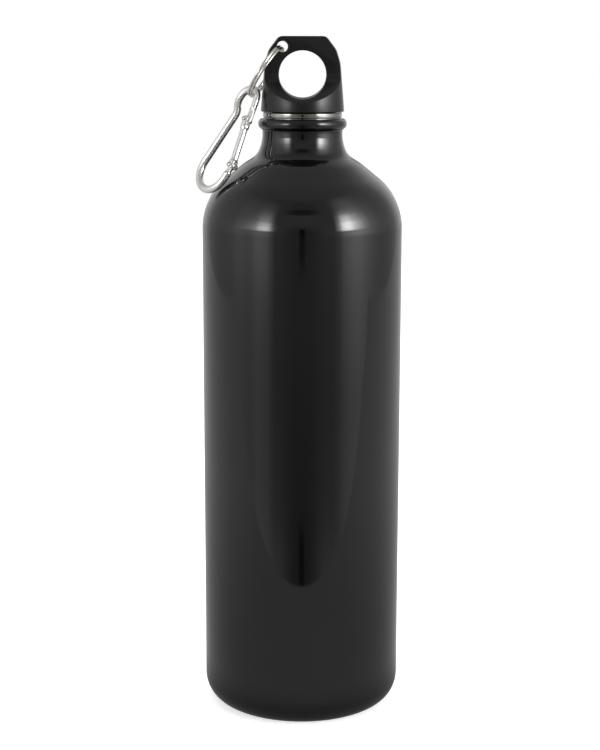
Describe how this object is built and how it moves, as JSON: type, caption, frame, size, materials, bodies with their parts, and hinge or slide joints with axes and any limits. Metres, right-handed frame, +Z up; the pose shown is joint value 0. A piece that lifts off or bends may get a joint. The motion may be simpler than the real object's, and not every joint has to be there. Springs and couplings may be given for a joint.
{
  "type": "water bottle",
  "caption": "Slim lacquered aluminium drinking bottle with a domed base, sloping shoulder, rolled neck bead, screw cap with a carrying hole, split ring and small carabiner.",
  "frame": {"origin": "centre of the base, on the plane that the bottle stands on", "axes": "+Z up along the bottle's axis, -Y towards the front, -X towards the side that the split ring and carabiner hang on"},
  "size_m": [0.0824, 0.08, 0.2722],
  "materials": {
    "black_lacquer": "black lacquer over aluminium, gloss",
    "bare_aluminium": "turned, satin",
    "satin_black_plastic": "satin",
    "black_plastic": "matt",
    "white_silicone": "matt",
    "plated_spring_steel": "bright",
    "polished_aluminium": "polished",
    "bright_steel": "bright"
  },
  "bodies": {
    "bottle": {"bottle_shell": "black_lacquer", "neck_thread_ring": "bare_aluminium"},
    "seal": {"cap_seal": "white_silicone"},
    "cap": {"cap_body": "satin_black_plastic", "cap_plug": "black_plastic"},
    "ring": {"split_ring": "plated_spring_steel"},
    "carabiner": {"carabiner_frame": "polished_aluminium", "gate_rivet": "bright_steel"},
    "gate": {"carabiner_gate": "polished_aluminium", "latch_pin": "bright_steel", "gate_spring": "bright_steel", "gate_plunger": "bright_steel"}
  },
  "joints": [
    {"name": "cap_lift", "type": "slide", "parent": "bottle", "child": "seal", "axis": [0, 0, 1], "range_m": [0, 0.016]},
    {"name": "cap_turn", "type": "hinge", "parent": "seal", "child": "cap", "pos_m": [0, 0, 0.24293], "axis": [0, 0, 1], "range_deg": [0, 1440]},
    {"name": "ring_swing", "type": "hinge", "parent": "cap", "child": "ring", "pos_m": [-0.00795, 0, 0.26813], "axis": [0, 1, 0], "range_deg": [0, 120]},
    {"name": "carabiner_swing", "type": "hinge", "parent": "ring", "child": "carabiner", "pos_m": [-0.02032, 0, 0.24921], "axis": [0, 1, 0], "range_deg": [0, 90]},
    {"name": "gate_open", "type": "hinge", "parent": "carabiner", "child": "gate", "pos_m": [-0.02738, -0.01347, 0.22238], "axis": [-0.6709, -0.5959, 0.4414], "range_deg": [0, 16], "stiffness_Nm_per_rad": 0.005, "springref_deg": -8.59}
  ],
  "couplings": [
    {"joint": "cap_turn", "follows": "cap_lift", "rad_per_m": 1570.8}
  ]
}
